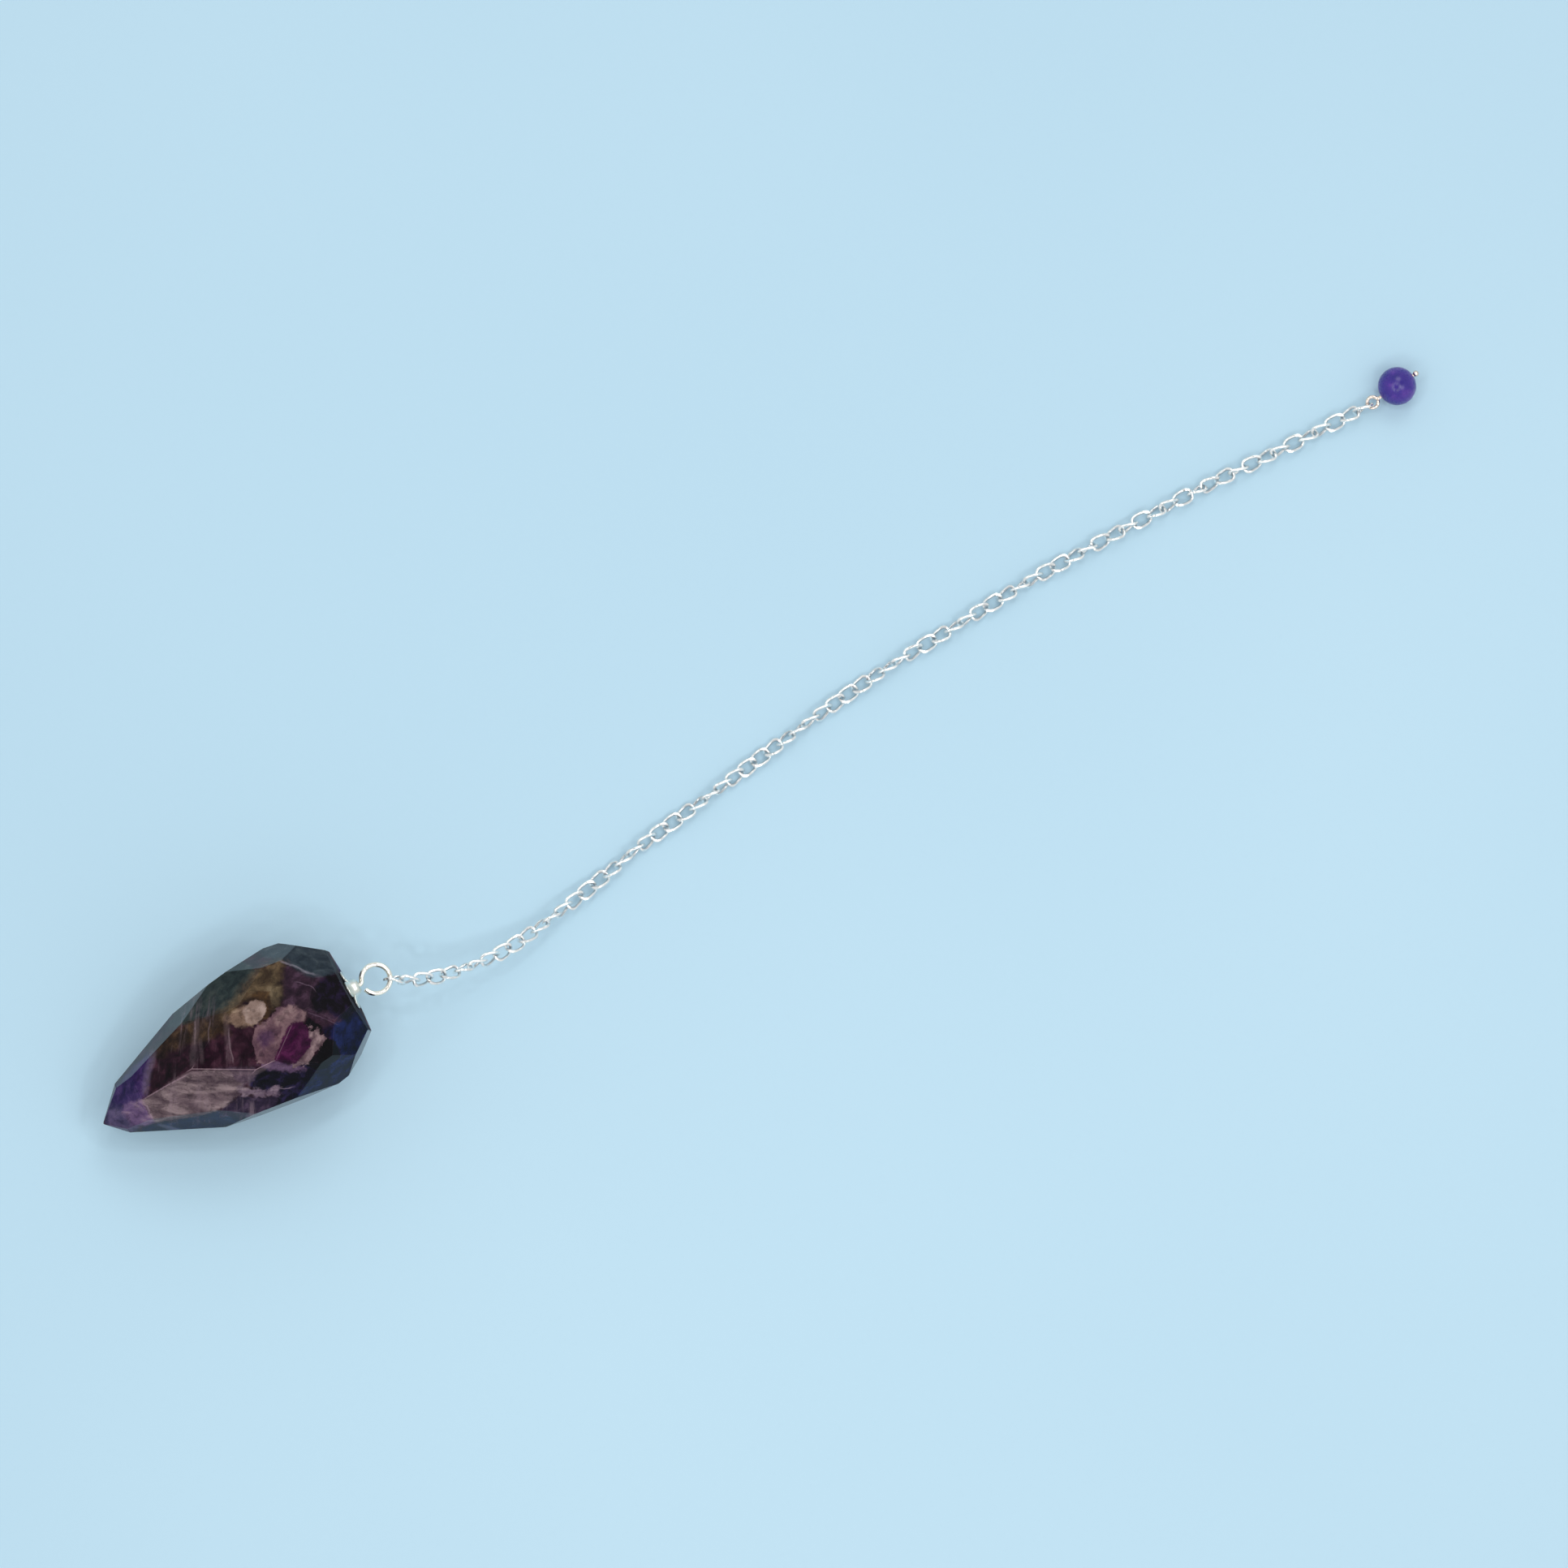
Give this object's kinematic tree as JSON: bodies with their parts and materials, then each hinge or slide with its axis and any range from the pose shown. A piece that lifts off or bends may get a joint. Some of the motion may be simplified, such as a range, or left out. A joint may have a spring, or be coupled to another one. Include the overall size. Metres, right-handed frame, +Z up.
{
  "type": "pendulum pendant",
  "caption": "Faceted drop of stone with a petal cap and a wire eye, on a twisted curb chain that ends in a small round bead on a head pin; it lies at rest with its chain drawn out.",
  "frame": {"origin": "middle of the stone's facet that it lies on, on the surface that carries it", "axes": "+X along the stone's axis from its tip towards the chain and bead, +Z up"},
  "size_m": [0.2378, 0.024, 0.0238],
  "materials": {
    "amethyst": "polished, with veils, ochre stains and a near black zone",
    "plated_sheet": "bright silver plate, stamped",
    "plated_wire": "bright silver plate",
    "chain_metal": "bright silver plate, with flattened sides",
    "pin_metal": "silver plate with a warm tone",
    "bead_stone": "polished"
  },
  "bodies": {
    "root": {"stone": "amethyst", "cap": "plated_sheet", "eye_pin": "plated_wire", "chain": "chain_metal", "head_pin": "pin_metal", "bead": "bead_stone"}
  },
  "joints": []
}
